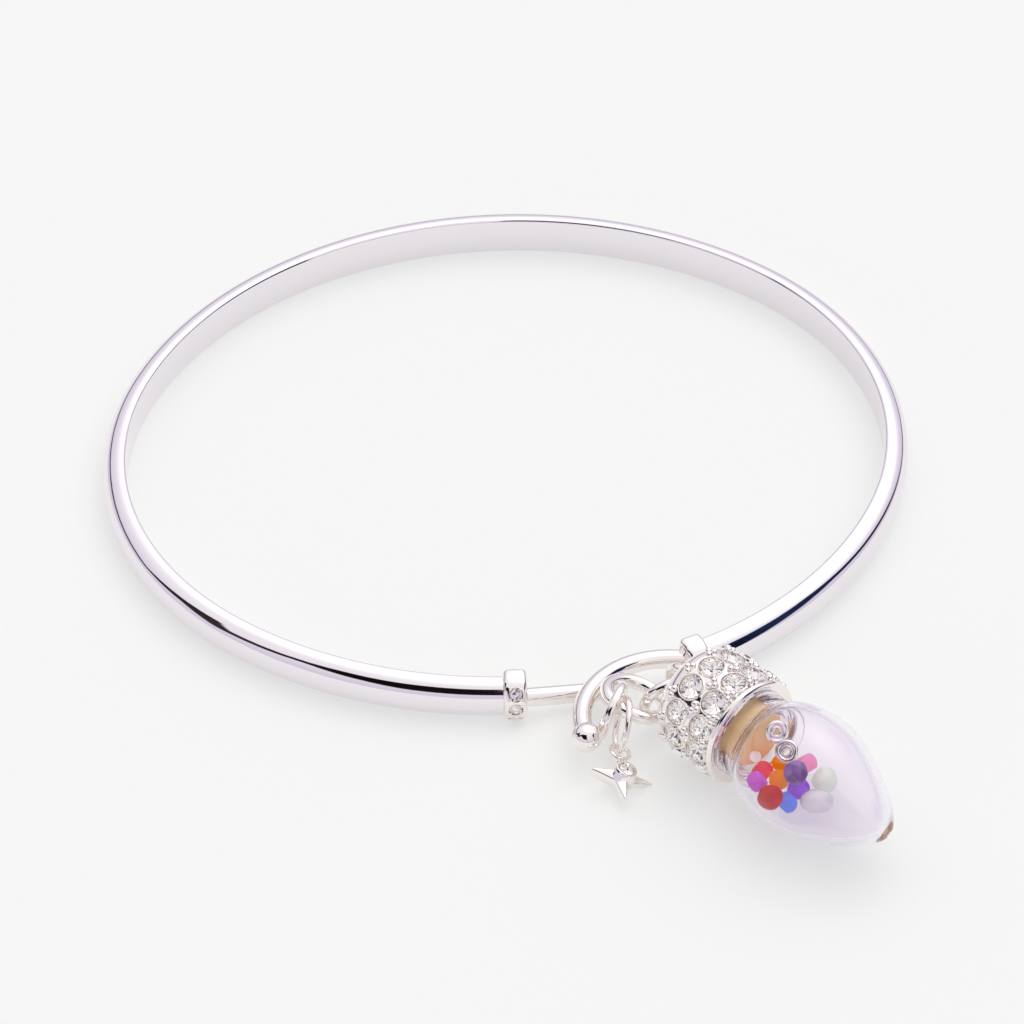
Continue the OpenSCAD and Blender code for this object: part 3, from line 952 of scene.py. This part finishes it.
class BRACELET_OT_beads(bpy.types.Operator):
    """Drop the loose beads into the bulb"""

    bl_idname = "bracelet.beads"
    bl_label = "Beads"

    def execute(self, context):
        for k, (name, colour, deep, clear) in enumerate(BEAD_COLOURS):
            self.bead("bead_" + name, bead_glass(name, colour, deep, clear), "glass_" + name, k)
        bm = bmesh.new()
        bmesh.ops.create_icosphere(bm, subdivisions=5, radius=MM)
        for vert in bm.verts:
            vert.co *= 1 - 0.03 * (0.5 + 0.5 * noise.noise(vert.co / MM * 1.4))
        lie = place((1.73, -0.12, 7.12)) @ Matrix.Rotation(math.radians(-48), 4, "X")
        bm.transform(charm_frame() @ lie @ Matrix.Diagonal((0.92, 0.92, 1.25, 1)))
        finish(bm, "pearl_nacre", [pearl_nacre()], ["pearl"])
        silver = shared(silver_cast, context.scene.bracelet_cuff.cast)
        bm = bmesh.new()
        for spot, tip in (((-0.85, 0.84, 1.72), 44), ((0.2, 0.77, 2.88), 66)):
            spot = charm_frame() @ place(spot, -142, tip)
            wire_ring(bm, spot, 0.68, 0.4, 64, 24)
            wire_ring(bm, spot, 0.34, 0.3, 48, 16)
        finish(bm, "curl_silver", [silver], ["curl"])
        return {"FINISHED"}

    @staticmethod
    def bead(node, mat, slot, seed):
        """An uneven barrel inside the ball that the model gives it."""
        low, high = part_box(node)
        centre, radius = (low + high) / 2, (high - low).x / 2
        hole = Vector((math.cos(seed * 2.4), math.sin(seed * 2.4), 0.7)).normalized()
        bm = bmesh.new()
        bmesh.ops.create_icosphere(bm, subdivisions=4, radius=1)
        for vert in bm.verts:
            out = vert.co.normalized()
            vert.co = out * (1 - BEAD_LUMP * (0.5 + 0.5 * noise.noise(out * 1.6 + Vector((seed * 3.1, 0, 0)))))
            along = vert.co.dot(hole)
            if abs(along) > BEAD_HALF:
                vert.co -= hole * math.copysign((abs(along) - BEAD_HALF) * 0.9, along)
        bm.transform(Matrix.Translation(centre) @ Matrix.Scale(radius * 0.995, 4))
        finish(bm, node + "_glass", [mat], [node])


class BRACELET_PT_panel(bpy.types.Panel):
    """Bracelet tools"""

    bl_label = "Bracelet"
    bl_space_type = "VIEW_3D"
    bl_region_type = "UI"
    bl_category = "Bracelet"

    def draw(self, context):
        for group in (context.scene.bracelet_cuff, context.scene.bracelet_charm, context.scene.bracelet_stage):
            box = self.layout.box()
            for name in group.__annotations__:
                box.prop(group, name)
        for step in STEPS:
            self.layout.operator(step.bl_idname)


STEPS = (
    BRACELET_OT_stage, BRACELET_OT_cuff, BRACELET_OT_stones, BRACELET_OT_rings, BRACELET_OT_star, BRACELET_OT_cap,
    BRACELET_OT_bulb, BRACELET_OT_beads,
)
GROUPS = {
    "bracelet_cuff": BRACELET_PG_cuff, "bracelet_charm": BRACELET_PG_charm, "bracelet_stage": BRACELET_PG_stage,
}


def register():
    for name, group in GROUPS.items():
        bpy.utils.register_class(group)
        setattr(bpy.types.Scene, name, bpy.props.PointerProperty(type=group))
    for step in STEPS:
        bpy.utils.register_class(step)
    bpy.utils.register_class(BRACELET_PT_panel)


def unregister():
    bpy.utils.unregister_class(BRACELET_PT_panel)
    for step in reversed(STEPS):
        bpy.utils.unregister_class(step)
    for name, group in GROUPS.items():
        delattr(bpy.types.Scene, name)
        bpy.utils.unregister_class(group)


def main():
    register()
    for step in STEPS:
        group, name = step.bl_idname.split(".")
        getattr(getattr(bpy.ops, group), name)()


if __name__ == "__main__":
    main()
